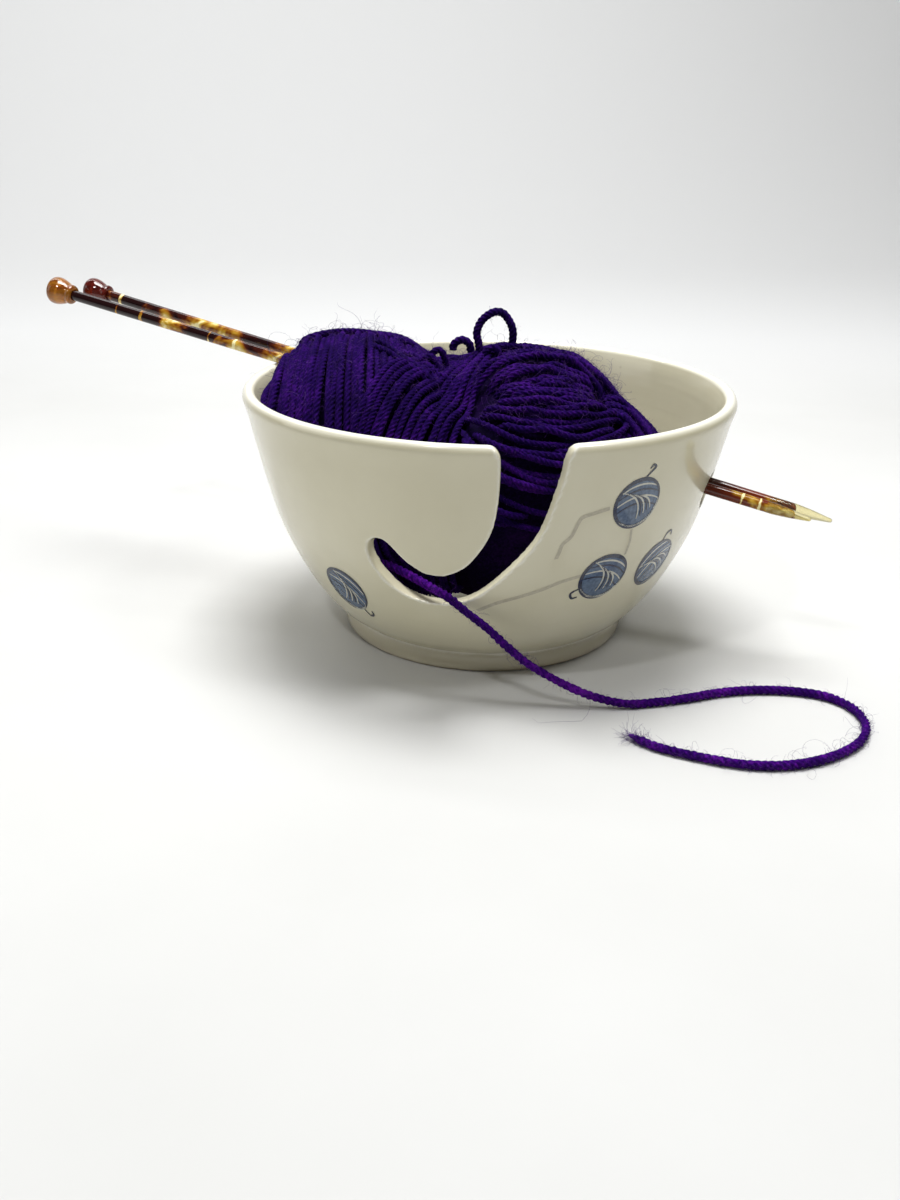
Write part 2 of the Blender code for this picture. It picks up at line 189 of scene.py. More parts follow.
def make_stage():
    """A white table top that curves up into a pale grey backdrop far behind."""
    profile = [(-TABLE_REACH, 0.0), (SWEEP_START, 0.0)]
    for angle in np.linspace(0.1, math.pi / 2, 14):
        profile.append((SWEEP_START + SWEEP_RADIUS * math.sin(angle), SWEEP_RADIUS * (1 - math.cos(angle))))
    profile.append((SWEEP_START + SWEEP_RADIUS, BACKDROP_TOP))
    verts = [(x, y, z) for y, z in profile for x in (-TABLE_REACH, TABLE_REACH)]
    faces = [(2 * i, 2 * i + 1, 2 * i + 3, 2 * i + 2) for i in range(len(profile) - 1)]
    floor = plain_object("floor", verts, faces)
    floor.data.shade_smooth()
    floor.data.materials.append(floor_material())


def make_light():
    """A white tent of even light, with lamps that give the shadows and shape."""
    scene = bpy.context.scene
    scene.view_settings.view_transform = "Standard"
    world = bpy.data.worlds.new("tent")
    world.use_nodes = True
    background = world.node_tree.nodes["Background"]
    background.inputs["Color"].default_value = TENT_COLOUR
    background.inputs["Strength"].default_value = TENT_STRENGTH
    scene.world = world
    for name, settings in LAMPS.items():
        area_light(name, *settings)


# ---------------------------------------------------------------- object and path helpers

def plain_object(name, verts, faces):
    mesh = bpy.data.meshes.new(name)
    mesh.from_pydata([tuple(map(float, v)) for v in verts], [], [tuple(map(int, f)) for f in faces])
    mesh.validate()
    obj = bpy.data.objects.new(name, mesh)
    bpy.context.scene.collection.objects.link(obj)
    return obj


def array_object(name, verts, quads, material):
    """A smooth mesh object from arrays of points in millimetres and of four-sided faces."""
    mesh = bpy.data.meshes.new(name)
    mesh.vertices.add(len(verts))
    mesh.vertices.foreach_set("co", (verts * MM).astype(np.float32).ravel())
    mesh.loops.add(4 * len(quads))
    mesh.loops.foreach_set("vertex_index", quads.astype(np.int32).ravel())
    mesh.polygons.add(len(quads))
    mesh.polygons.foreach_set("loop_start", np.arange(0, 4 * len(quads), 4, dtype=np.int32))
    mesh.update(calc_edges=True)
    mesh.shade_smooth()
    mesh.materials.append(material)
    obj = bpy.data.objects.new(name, mesh)
    bpy.context.scene.collection.objects.link(obj)
    return obj


def smooth_path(points, per_span):
    """A Catmull-Rom curve through the points, as an array."""
    knots = np.array(points, float)
    knots = np.vstack([2 * knots[0] - knots[1], knots, 2 * knots[-1] - knots[-2]])
    t = (np.arange(per_span) / per_span)[:, None]
    spans = []
    for a, b, c, d in zip(knots, knots[1:], knots[2:], knots[3:]):
        spans.append(0.5 * (2 * b + (c - a) * t + (2 * a - 5 * b + 4 * c - d) * t ** 2
                            + (3 * b - a - 3 * c + d) * t ** 3))
    return np.vstack(spans + [knots[-2][None]])


def resample(path, step):
    """The path's points at even steps of about the given length."""
    lengths = np.concatenate([[0], np.cumsum(np.linalg.norm(np.diff(path, axis=0), axis=1))])
    count = max(2, int(round(lengths[-1] / step)) + 1)
    even = np.linspace(0, lengths[-1], count)
    return np.column_stack([np.interp(even, lengths, path[:, k]) for k in range(path.shape[1])])


def unit(v):
    return v / np.maximum(np.linalg.norm(v, axis=-1, keepdims=True), 1e-9)


def ride(obj, body, replaced=()):
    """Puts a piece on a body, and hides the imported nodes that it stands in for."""
    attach(obj, body)
    if replaced:
        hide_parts(*replaced)
    return obj


# ---------------------------------------------------------------- materials

# A Mix node has sockets for every kind of value. These are the places of its factor and its colour ones.
MIX_FACTOR, MIX_A, MIX_B, MIX_RESULT = 0, 6, 7, 2


class Nodes:
    """Short calls for building a material's node tree."""

    def __init__(self, name):
        self.material = bpy.data.materials.new(name)
        self.material.use_nodes = True
        self.tree = self.material.node_tree
        self.shader = self.tree.nodes["Principled BSDF"]

    def set(self, **sockets):
        for name, value in sockets.items():
            self.shader.inputs[name.replace("_", " ")].default_value = value

    def add(self, kind, inputs=None, **settings):
        node = self.tree.nodes.new(kind)
        for name, value in settings.items():
            setattr(node, name, value)
        for name, value in (inputs or {}).items():
            socket = node.inputs[name]
            if isinstance(value, bpy.types.NodeSocket):
                self.tree.links.new(value, socket)
            else:
                socket.default_value = (*value, 1) if socket.type == "RGBA" else value
        return node

    def coordinates(self, scale=(1, 1, 1)):
        where = self.add("ShaderNodeTexCoord")
        return self.add("ShaderNodeMapping", {"Vector": where.outputs["Object"], "Scale": scale}).outputs[0]

    def noise(self, vector, scale, detail=4, rough=0.5, distortion=0.0):
        node = self.add("ShaderNodeTexNoise", {"Vector": vector, "Scale": scale, "Detail": detail,
                                               "Roughness": rough, "Distortion": distortion})
        return node.outputs["Fac"]

    def axis(self, vector, letter):
        return self.add("ShaderNodeSeparateXYZ", {"Vector": vector}).outputs[letter]

    def ramp(self, value, stops):
        node = self.add("ShaderNodeValToRGB", {"Fac": value})
        elements = node.color_ramp.elements
        while len(elements) < len(stops):
            elements.new(0.5)
        for element, (place, colour) in zip(elements, stops):
            element.position = place
            element.color = (*colour, 1)
        return node.outputs["Color"]

    def math(self, operation, a, b=0.0, c=0.0, clamp=False):
        node = self.add("ShaderNodeMath", {0: a, 1: b, 2: c}, operation=operation)
        node.use_clamp = clamp
        return node.outputs[0]

    def mix(self, factor, a, b, blend="MIX"):
        inputs = {MIX_FACTOR: factor, MIX_A: a, MIX_B: b}
        return self.add("ShaderNodeMix", inputs, data_type="RGBA", blend_type=blend).outputs[MIX_RESULT]

    def bump(self, height, distance, strength=1.0, after=None):
        inputs = {"Height": height, "Distance": distance, "Strength": strength}
        if after is not None:
            inputs["Normal"] = after
        return self.add("ShaderNodeBump", inputs).outputs[0]

    def use(self, socket, value):
        self.tree.links.new(value, self.shader.inputs[socket])


def floor_material():
    n = Nodes("table_white")
    grain = n.noise(n.coordinates(), 9.0, 6)
    paper = n.ramp(grain, ((0.3, (0.615, 0.617, 0.605)), (0.7, (0.645, 0.647, 0.637))))
    # Painted light: from about a third of a metre back the table's colour is made lighter, standing in for how
    # the light falls on a seamless sweep.
    far = n.math("MULTIPLY_ADD", n.axis(n.coordinates(), "Y"), 4.0, -1.3)
    far = n.math("SMOOTH_MIN", far, 1.0, 0.3, clamp=True)
    n.use("Base Color", n.mix(far, paper, (0.73, 0.735, 0.735)))
    n.set(Roughness=0.8)
    return n.material


def glaze_material():
    """Cream glaze over stoneware: softly clouded; paler on the lip and along the cut edges, partly thin glaze and
    partly a painted highlight; darker and yellower at the foot, partly pooled glaze and partly painted shade;
    with a few iron specks and faint throwing rings, and bare clay underneath."""
    n = Nodes("cream_glaze")
    where = n.coordinates()
    clouds = n.noise(where, 16.0, 5, 0.55)
    body = n.ramp(clouds, ((0.25, (0.61, 0.565, 0.385)), (0.55, (0.665, 0.624, 0.445)),
                           (0.8, (0.715, 0.678, 0.51))))
    height = n.axis(where, "Z")
    # Paler band on the lip's top: partly thin glaze, partly a painted highlight.
    lip = n.math("SMOOTH_MIN", n.math("MULTIPLY_ADD", height, 600.0, -51.6), 1.0, 0.15, clamp=True)
    colour = n.mix(lip, body, (0.86, 0.845, 0.74))
    # The paler line along the cut edges: partly thin glaze, partly a painted highlight.
    thin = n.add("ShaderNodeAttribute", attribute_name="glaze_edge_and_highlight").outputs["Fac"]
    colour = n.mix(n.math("MULTIPLY", thin, 0.85), colour, (0.90, 0.885, 0.79))
    # Darker and yellower towards the foot: partly pooled glaze, partly painted shade under the flaring body.
    foot = n.math("MULTIPLY_ADD", height, -160.0, 1.55, clamp=True)
    colour = n.mix(n.math("MULTIPLY", foot, 0.35), colour, (0.62, 0.55, 0.42))
    cells = n.add("ShaderNodeTexVoronoi", {"Vector": where, "Scale": 95.0, "Randomness": 1.0})
    speck = n.ramp(cells.outputs["Distance"], ((0.035, (1, 1, 1)), (0.075, (0, 0, 0))))
    few = n.ramp(n.noise(where, 60.0, 2), ((0.60, (0, 0, 0)), (0.66, (1, 1, 1))))
    dots = n.math("MULTIPLY", n.math("MULTIPLY", speck, few), 0.55)
    colour = n.mix(dots, colour, (0.30, 0.22, 0.13))
    bare = n.math("MULTIPLY_ADD", n.noise(where, 250.0, 3), 0.8, n.math("MULTIPLY_ADD", height, -900.0, 0.8))
    bare = n.math("MAXIMUM", bare, 0.0, clamp=True)
    n.use("Base Color", n.mix(bare, colour, (0.56, 0.47, 0.34)))
    glazed_roughness = n.math("MULTIPLY_ADD", n.noise(where, 40.0, 3), 0.10, 0.14)
    n.use("Roughness", n.math("MULTIPLY_ADD", bare, 0.5, glazed_roughness))
    rings = n.noise(n.coordinates((2.0, 2.0, 150.0)), 1.0, 2, 0.4)
    ripple = n.bump(rings, 0.00035, 0.6)
    n.use("Normal", n.bump(n.noise(where, 130.0, 3), 0.00005, 0.5, ripple))
    n.set(Coat_Weight=0.35, Coat_Roughness=0.06, Specular_IOR_Level=0.5)
    return n.material


def yarn_material(name, depth, red=1.0):
    """Deep purple wool with a fine fibre bump. depth scales its whole colour and red the red in it; they make
    painted-lit and painted-shade copies of the one wool.
    """
    n = Nodes(name)
    where = n.coordinates()
    broad = n.noise(where, 70.0, 3)
    fine = n.noise(where, 900.0, 4, 0.65)
    mixed = n.math("MULTIPLY_ADD", fine, 0.55, n.math("MULTIPLY", broad, 0.45))
    stops = ((0.33, (0.0028, 0.0002, 0.022)), (0.5, (0.0105, 0.0006, 0.062)), (0.66, (0.048, 0.005, 0.17)))
    stops = [(place, (depth * red * r, depth * g, depth * b)) for place, (r, g, b) in stops]
    n.use("Base Color", n.ramp(mixed, stops))
    n.use("Normal", n.bump(n.noise(where, 1500.0, 3, 0.7), 0.00022, 0.9))
    n.set(Roughness=0.9, Sheen_Weight=0.05, Sheen_Roughness=0.4, Sheen_Tint=(0.45, 0.15, 1.0, 1),
          Specular_IOR_Level=0.05)
    return n.material


def fibre_material():
    n = Nodes("purple_fibre")
    n.use("Base Color", n.ramp(n.noise(n.coordinates(), 300.0), ((0.35, (0.035, 0.010, 0.11)),
                                                                  (0.65, (0.10, 0.04, 0.22)))))
    n.set(Roughness=0.7, Specular_IOR_Level=0.1)
    return n.material


def tortoiseshell_material(name, seed, dark, bands):
    """Dark red-brown plastic with ragged amber and cream patches, and no near-black close to the point. dark
    lists stretches that are darker (or lighter, below zero) and bands lists thin cream rings, both as
    millimetres back from the needle's point. seed shifts the pattern."""
    n = Nodes(name)
    where = n.add("ShaderNodeTexCoord").outputs["Object"]
    shifted = n.add("ShaderNodeMapping", {"Vector": where, "Location": (0, 0, seed), "Scale": (115, 115, 78)})
    patches = n.noise(shifted.outputs[0], 1.0, 3.0, 0.6, 0.4)
    edge = n.noise(n.coordinates((420, 420, 200)), 1.0, 3, 0.6)
    value = n.math("MULTIPLY_ADD", edge, 0.10, patches)
    back = n.math("MULTIPLY", n.axis(where, "Z"), -1.0 / MM)
    ragged = n.math("MULTIPLY_ADD", edge, 6.0, n.math("ADD", back, -3.0))
    for low, high, amount in dark:
        off = n.math("ABSOLUTE", n.math("ADD", ragged, -(low + high) / 2))
        inside = n.math("MULTIPLY_ADD", off, -0.25, (high - low) / 8 + 0.5, clamp=True)
        value = n.math("MULTIPLY_ADD", inside, -amount, value)
    for place, width in bands:
        off = n.math("ABSOLUTE", n.math("ADD", n.math("MULTIPLY_ADD", edge, 1.4, back), -place - 0.7))
        inside = n.math("MULTIPLY_ADD", off, -2.5, width * 1.25 + 0.5, clamp=True)
        value = n.math("MULTIPLY_ADD", inside, 0.26, value)
    shell = n.ramp(value, ((0.42, (0.013, 0.0015, 0.002)), (0.51, (0.055, 0.007, 0.003)),
                           (0.54, (0.19, 0.050, 0.004)), (0.59, (0.36, 0.16, 0.010)),
                           (0.65, (0.60, 0.39, 0.05)), (0.71, (0.94, 0.85, 0.45))))
    near_point = n.math("MULTIPLY_ADD", back, -0.05, 2.3, clamp=True)
    n.use("Base Color", n.mix(near_point, shell, (0.15, 0.021, 0.004), "LIGHTEN"))
    n.set(Roughness=0.12, Coat_Weight=0.2, Coat_Roughness=0.03, IOR=1.45)
    return n.material


def clear_material(name, tint, roughness, transmission, cloud):
    """Clear plastic, tinted, with swirls of a paler cloud."""
    n = Nodes(name)
    swirl = n.noise(n.coordinates((160, 160, 90)), 1.0, 3, 0.5, 0.6)
    n.use("Base Color", n.ramp(swirl, ((0.35, tint), (0.7, cloud))))
    n.set(Roughness=roughness, Transmission_Weight=transmission, IOR=1.46, Coat_Weight=0.3,
          Coat_Roughness=0.03)
    return n.material


def ink_material(name, dark, light):
    """A fired-on finish, mottled between two colours, that lets a little of the glaze through: the blue prints
    and the faint marks on the wall.
    """
    n = Nodes(name)
    where = n.coordinates()
    n.use("Base Color", n.ramp(n.noise(where, 900.0, 3), ((0.35, dark), (0.7, light))))
    n.use("Roughness", n.math("MULTIPLY_ADD", n.noise(where, 300.0, 2), 0.12, 0.16))
    n.set(Coat_Weight=0.4, Coat_Roughness=0.05)
    return n.material


# ---------------------------------------------------------------- bowl

def fine_section():
    """The bowl's section in millimetres, from the middle of its inside over the lip to that of its foot."""
    rows = [smooth_path(SECTION_INSIDE, 6)[:-1], smooth_path(SECTION_LIP, 6)[:-1],
            smooth_path(SECTION_OUTSIDE, 6)[:-1], smooth_path(SECTION_FOOT, 5)]
    return np.vstack(rows + [np.array([[0.0, 0.0]])])


def turned(name, section, steps):
    """A closed solid of revolution about Z, from a section that starts and ends on the axis. Millimetres."""
    inner = np.asarray(section)[1:-1]
    angles = np.arange(steps) * 2 * math.pi / steps
    ring = np.column_stack([np.cos(angles), np.sin(angles)])
    verts = [[0, 0, section[0][1]]]
    for radius, height in inner:
        verts += [[radius * x, radius * y, height] for x, y in ring]
    verts.append([0, 0, section[-1][1]])
    faces = []
    last = len(verts) - 1
    for i in range(steps):
        j = (i + 1) % steps
        faces.append((0, 1 + i, 1 + j))
        for row in range(len(inner) - 1):
            a = 1 + row * steps
            faces.append((a + i, a + steps + i, a + steps + j, a + j))
        end = 1 + (len(inner) - 1) * steps
        faces.append((end + i, last, end + j))
    return plain_object(name, np.array(verts) * MM, faces)


def face_outward(mesh, triangles=False):
    """Turns a closed mesh's faces outward, after cutting them into triangles if asked."""
    bm = bmesh.new()
    bm.from_mesh(mesh)
    if triangles:
        bmesh.ops.triangulate(bm, faces=bm.faces)
    bmesh.ops.recalc_face_normals(bm, faces=bm.faces)
    bm.to_mesh(mesh)
    bm.free()


def slot_cutter():
    """The J-shaped slot's outline as a prism from inside the wall to outside it."""
    outline = smooth_path(SLOT_OUTLINE, 5)
    angles = SLOT_AZIMUTH + outline[:, 0] / SLOT_RADIUS
    layers = []
    for radius in np.linspace(*SLOT_CUT_RADII, 4):
        layers.append(np.column_stack([radius * np.cos(angles), radius * np.sin(angles), outline[:, 1]]))
    count = len(outline)
    faces = [tuple(face) for face in tube_quads(4, count)]
    faces.append(tuple(range(count))[::-1])
    faces.append(tuple(range(3 * count, 4 * count)))
    cutter = plain_object("slot_cutter", np.vstack(layers) * MM, faces)
    face_outward(cutter.data, triangles=True)
    return cutter


def hole_cutter():
    """A round rod through the wall, square to its lean, where the needles come out."""
    outward = Vector((math.cos(HOLE_AZIMUTH), math.sin(HOLE_AZIMUTH), 0))
    normal = outward * math.cos(HOLE_WALL_LEAN) - Vector((0, 0, math.sin(HOLE_WALL_LEAN)))
    middle = outward * HOLE_WALL_RADIUS + Vector((0, 0, HOLE_HEIGHT))
    mesh = bpy.data.meshes.new("hole_cutter")
    bm = bmesh.new()
    bmesh.ops.create_cone(bm, cap_ends=True, segments=64, radius1=HOLE_RADIUS * MM, radius2=HOLE_RADIUS * MM,
                          depth=0.04)
    bm.to_mesh(mesh)
    bm.free()
    cutter = bpy.data.objects.new("hole_cutter", mesh)
    cutter.matrix_world = Matrix.Translation(middle * MM) @ normal.to_track_quat("Z", "Y").to_matrix().to_4x4()
    bpy.context.scene.collection.objects.link(cutter)
    return cutter


def nearest_on_section(points, section):
    """For (radius, height) points, the nearest points on the section's line and how far they are."""
    a, b = section[:-1], section[1:]
    along = b - a
    size = np.maximum((along ** 2).sum(1), 1e-9)
    near, gap = np.empty_like(points), np.empty(len(points))
    for start in range(0, len(points), 20000):
        p = points[start:start + 20000]
        t = np.clip(((p[:, None] - a) * along).sum(2) / size, 0, 1)
        foot = a + t[..., None] * along
        distance = ((p[:, None] - foot) ** 2).sum(2)
        best = distance.argmin(1)
        rows = np.arange(len(p))
        near[start:start + 20000] = foot[rows, best]
        gap[start:start + 20000] = np.sqrt(distance[rows, best])
    return near, gap


def spread(mesh, values, rounds):
    """Moves each point's values half of the way to the mean of its neighbours', a number of times."""
    count = len(values)
    edges = np.empty(len(mesh.edges) * 2, dtype=np.int64)
    mesh.edges.foreach_get("vertices", edges)
    a, b = edges.reshape(-1, 2).T
    degree = np.bincount(a, minlength=count) + np.bincount(b, minlength=count)
    for _ in range(rounds):
        total = np.zeros_like(values)
        for k in range(values.shape[1]):
            total[:, k] = (np.bincount(a, weights=values[b, k], minlength=count)
                           + np.bincount(b, weights=values[a, k], minlength=count))
        values = values + 0.5 * (total / degree[:, None] - values)
    return values


def cut_bowl(section):
    """The turned pot with its slot and hole cut, remeshed finely so that the cut edges can be softened."""
    bowl = turned("bowl_body", section, 240)
    face_outward(bowl.data)
    cutters = [slot_cutter(), hole_cutter()]
    for cutter in cutters:
        modifier = bowl.modifiers.new(cutter.name, "BOOLEAN")
        modifier.operation = "DIFFERENCE"
        modifier.solver = "EXACT"
        modifier.object = cutter
    remesh = bowl.modifiers.new("remesh", "REMESH")
    remesh.mode = "VOXEL"
    remesh.voxel_size = BOWL_GRAIN
    mesh = bpy.data.meshes.new_from_object(bowl.evaluated_get(bpy.context.evaluated_depsgraph_get()))
    bowl.modifiers.clear()
    bowl.data = mesh
    for cutter in cutters:
        bpy.data.objects.remove(cutter, do_unlink=True)
    return bowl


def settle(points, section):
    """Puts points that lie close to the turned section exactly on it, in place, and leaves those on the cut
    faces. Returns how firmly each is held: 1 on the section, down to 0 on a cut face."""
    radius = np.hypot(points[:, 0], points[:, 1])
    near, gap = nearest_on_section(np.column_stack([radius, points[:, 2]]), section)
    hold = np.clip((SECTION_LOOSE - gap) / (SECTION_LOOSE - SECTION_FIRM), 0, 1)
    hold = hold * hold * (3 - 2 * hold)
    new_radius = radius + hold * (near[:, 0] - radius)
    points[:, :2] *= (new_radius / np.maximum(radius, 1e-6))[:, None]
    points[:, 2] += hold * (near[:, 1] - points[:, 2])
    return hold


def make_bowl():
    """The pot as fired: cut, then every cut edge softened by the glaze, and the walls kept truly round. An
    attribute marks the paler line along the cut edges: partly thin glaze, partly a painted highlight."""
    section = fine_section()
    bowl = cut_bowl(section)
    mesh = bowl.data
    points = np.empty(len(mesh.vertices) * 3)
    mesh.vertices.foreach_get("co", points)
    points = spread(mesh, points.reshape(-1, 3), 6) / MM
    hold = settle(points, section)
    mesh.vertices.foreach_set("co", (points * MM).astype(np.float32).ravel())
    mesh.update()
    mesh.shade_smooth()
    # Marks the line along the cut edges that is painted paler: partly thin glaze, partly a painted highlight.
    edge = spread(mesh, hold[:, None], 2)[:, 0]
    thin = mesh.attributes.new("glaze_edge_and_highlight", "FLOAT", "POINT")
    thin.data.foreach_set("value", np.clip(1.2 - 2.2 * np.abs(edge - 0.5), 0, 1).astype(np.float32))
    mesh.materials.clear()
    mesh.materials.append(glaze_material())
    ride(bowl, "bowl", ["bowl"])


# ---------------------------------------------------------------- needles

def needle_axis(name):
    """The needle's direction from knob to point, and its point, in millimetres."""
    lip_azimuth, hole_azimuth, hole_height, reach = NEEDLES[name]
    on_lip = np.array([LIP_CREST[0] * math.cos(lip_azimuth), LIP_CREST[0] * math.sin(lip_azimuth),
                       LIP_CREST[1] + NEEDLE_OVER_LIP])
    at_hole = np.array([HOLE_OUTSIDE_RADIUS * math.cos(hole_azimuth),
                        HOLE_OUTSIDE_RADIUS * math.sin(hole_azimuth), hole_height])
    axis = unit(at_hole - on_lip)
    return axis, at_hole + axis * reach


def on_needle(obj, name):
    """Places a piece that is turned about Z, with the needle's point at its origin."""
    axis, point = needle_axis(name)
    obj.matrix_world = (Matrix.Translation(Vector(point) * MM)
                        @ Vector(axis).to_track_quat("Z", "Y").to_matrix().to_4x4())


def taper_radius(back):
    """The needle's radius at distances back from its point, which is rounded."""
    return np.interp(back, (0, 0.2, 0.7, NEEDLE_TAPER * 0.55, NEEDLE_TAPER * 0.88, NEEDLE_TAPER),
                     (0, 0.49, 0.7, NEEDLE_RADIUS * 0.78, NEEDLE_RADIUS * 0.96, NEEDLE_RADIUS))


def needle_rod(name, backs, radii):
    """A rod of the given radii at distances back from the point, with a flat far end."""
    return turned(name, np.vstack([np.column_stack([radii, -backs]), (0, -backs[-1])]), 40)


def end_knob(name, size):
    """The knob, with a socket for the shaft. size widens or narrows all but its neck."""
    mouth = KNOB_LENGTH - NEEDLE_LENGTH
    socket_radius, socket_floor = KNOB_SOCKET[0], KNOB_SOCKET[1] - NEEDLE_LENGTH
    form = [(max(r, 0) * (1 + (size - 1) * min(1, b / 3)), mouth - b) for r, b in smooth_path(KNOB_SECTION, 4)]
    socket = [(0, socket_floor), (socket_radius, socket_floor), (socket_radius, mouth)]
    return turned(name, socket + form[:-1] + [(0, form[-1][1])], 48)


def make_needle(name, clear_length, shell, knob_material, knob_size):
    """A needle: the patterned shell, whose rounded nose stands inside the clear point, and the end knob."""
    quarter = np.linspace(0, math.pi / 2, 12)
    nose = clear_length + SHELL_NOSE * (1 - np.cos(quarter))
    backs = np.concatenate([nose, np.linspace(clear_length + 5, SHAFT_END, 90)])
    rounded = np.concatenate([np.sin(quarter), np.ones(90)])
    shaft = needle_rod(name + "_shaft_shell", backs, taper_radius(backs) * SHELL_FIT * rounded)
    tip_backs = np.concatenate([[0, 0.05, 0.2, 0.45, 0.8], np.linspace(1.3, clear_length + POINT_OVERLAP, 30)])
    tip = needle_rod(name + "_clear_point", tip_backs, taper_radius(tip_backs))
    knob = end_knob(name + "_end_knob", knob_size)
    clear = clear_material(name + "_clear", (0.86, 0.76, 0.36), 0.03, 0.97, (0.95, 0.88, 0.56))
    for piece, material in ((shaft, shell), (tip, clear), (knob, knob_material)):
        piece.data.materials.append(material)
        face_outward(piece.data)
        piece.data.shade_smooth()
        piece.data.set_sharp_from_angle(angle=math.radians(50))
        on_needle(piece, name)
    ride(shaft, name, [name + "_shaft"])
    ride(tip, name)
    ride(knob, name, [name + "_knob"])


# ---------------------------------------------------------------- yarn

def spun_yarn(path, normals, radius, pitch, phase, sides=16):
    """A four-ply yarn round a path: (points, quads). Its section is four overlapping round plies that turn."""
    count = len(path)
    tangent = unit(np.gradient(path, axis=0))
    across = unit(np.cross(tangent, normals))
    normal = np.cross(across, tangent)
    along = np.concatenate([[0], np.cumsum(np.linalg.norm(np.diff(path, axis=0), axis=1))])
    radius = np.broadcast_to(radius, (count,))
    turn = 2 * math.pi * along / pitch + phase
    theta = np.arange(sides) * 2 * math.pi / sides
    from_ply = (theta + math.pi / 4) % (math.pi / 2) - math.pi / 4
    reach = PLY_OFFSET * np.cos(from_ply) + np.sqrt(PLY_SIZE ** 2 - (PLY_OFFSET * np.sin(from_ply)) ** 2)
    angle = theta[None] + turn[:, None]
    size = radius[:, None] * reach[None]
    points = (path[:, None] + (size * np.cos(angle))[..., None] * normal[:, None]
              + (size * np.sin(angle))[..., None] * across[:, None]).reshape(-1, 3)
    return points, tube_quads(count, sides)


def tube_quads(count, sides):
    """The faces of a tube of rings, each joined to the next."""
    i = np.arange(count - 1)[:, None] * sides
    j = np.arange(sides)[None]
    k = (j + 1) % sides
    return np.stack([i + j, i + k, i + sides + k, i + sides + j], axis=-1).reshape(-1, 4)


def join(pieces):
    """Several (points, quads) pairs as one."""
    points, quads, base = [], [], 0
    for p, q in pieces:
        points.append(p)
        quads.append(q + base)
        base += len(p)
    return np.vstack(points), np.vstack(quads)


# The bowl's inside, and the first part of it, which is its floor. The wall leans, so a gap that is measured level
# is WALL_LEAN_SHARE times the gap square to it.
INSIDE = smooth_path(SECTION_INSIDE[:-1], 4)
INSIDE_FLOOR = INSIDE[:20]
WALL_LEAN_SHARE = 1.08


def keep_in_bowl(points, margin):
    """Moves points in from the bowl's wall and up from its floor, so that they are at least margin away."""
    points = points.copy()
    radius = np.hypot(points[:, 0], points[:, 1])
    points[:, 2] = np.maximum(points[:, 2], np.interp(radius, *INSIDE_FLOOR.T) + margin)
    limit = np.interp(points[:, 2], INSIDE[:, 1], INSIDE[:, 0]) - margin * WALL_LEAN_SHARE
    limit = np.where(points[:, 2] > INSIDE[-1, 1], INSIDE[-1, 0] - margin, limit)
    scale = np.minimum(1, limit / np.maximum(radius, 1e-6))
    points[:, :2] *= scale[:, None]
    return points


def clear_of_needles(points, clearance):
    """Moves points away from the needles' axes."""
    points = points.copy()
    for name in NEEDLES:
        axis, tip = needle_axis(name)
        rel = points - tip
        back = rel @ axis
        off = rel - back[:, None] * axis
        gap = np.linalg.norm(off, axis=1)
        near = (gap < clearance) & (back < 0)
        points[near] += unit(off[near]) * (clearance - gap[near])[:, None]
    return points


def ellipsoid_hit(lobe, start, direction):
    """How many times its direction each ray goes before it leaves a lobe, or 0 where it misses."""
    centre, half = lobe
    q, e = (start - centre) / half, direction / half
    a = (e * e).sum(-1)
    b = (q * e).sum(-1)
    c = (q * q).sum(-1) - 1
    inside = b * b - a * c
    return np.where(inside > 0, (-b + np.sqrt(np.maximum(inside, 0))) / a, 0)


def shaped(points):
    """Presses points on the lobes in, or out, at the skein's dents and shoulder."""
    depth = np.zeros(points.shape[:-1])
    for place, reach, size in DENTS:
        far = ((points - np.array(place)) / np.array(reach)) ** 2
        depth += size * np.exp(-far.sum(-1))
    return points - skein_normal(points) * depth[..., None]


def skein_hit(start, direction):
    """Where rays from inside leave the skein's outer surface."""
    reach = np.max([ellipsoid_hit(lobe, start, direction) for lobe in (LEFT_LOBE, WAIST, RIGHT_LOBE)], axis=0)
    return shaped(start + direction * reach[..., None])


def onto_skein(points, middle):
    """Moves points, on lines from a middle point, onto the skein's outer surface."""
    return skein_hit(middle, points - middle)


def skein_normal(points):
    """Outward directions, read from the line that runs along the skein's middle."""
    along = np.clip((points - SKEIN_MIDDLE) @ SKEIN_LINE, *MIDDLE_SPAN)
    return unit((points - SKEIN_MIDDLE - along[:, None] * SKEIN_LINE) / NORMAL_STRETCH)


def along_skein(points):
    """Places along the skein's length, measured from the bowl's axis."""
    return points[:, 0] * SKEIN_LINE[0] + points[:, 1] * SKEIN_LINE[1]


def wobble(count, size, waves):
    """A smooth random line: a sum of a few slow waves."""
    t = np.linspace(0, 1, count)
    total = np.zeros(count)
    for k in range(1, waves + 1):
        total += np.sin(2 * math.pi * (k * t + RANDOM.random())) * RANDOM.normal() / k
    return total * size


def runs(keep):
    """Where each stretch of True starts, and the place just past its end."""
    edges = np.flatnonzero(np.diff(np.concatenate([[0], keep.astype(int), [0]])))
    return list(zip(edges[::2], edges[1::2]))


def lay_strand(path, keep, lift, out, fade=7.0):
    """Lays a yarn on the skein along a path on its surface, in the stretches that are kept, each at least
    SHORTEST_RUN points long. lift raises it, and its ends dip out of sight over fade points."""
    normal = skein_normal(path)
    for first, last in runs(keep):
        if last - first < SHORTEST_RUN:
            continue
        ends = np.minimum(np.arange(last - first), np.arange(last - first)[::-1]) / fade
        height = lift[first:last] - SKEIN_STRAND - END_DIP * (1 - np.minimum(ends, 1)) ** 2
        part = path[first:last] + normal[first:last] * height[:, None]
        part = clear_of_needles(keep_in_bowl(part, SKEIN_STRAND + 0.25), NEEDLE_RADIUS + SKEIN_STRAND + 0.1)
        part = resample(part, 0.65)
        out.append(spun_yarn(part, skein_normal(part), SKEIN_STRAND * (1 + 0.05 * RANDOM.normal()),
                             PLY_PITCH * (1 + 0.1 * RANDOM.normal()), RANDOM.random() * 6.28))


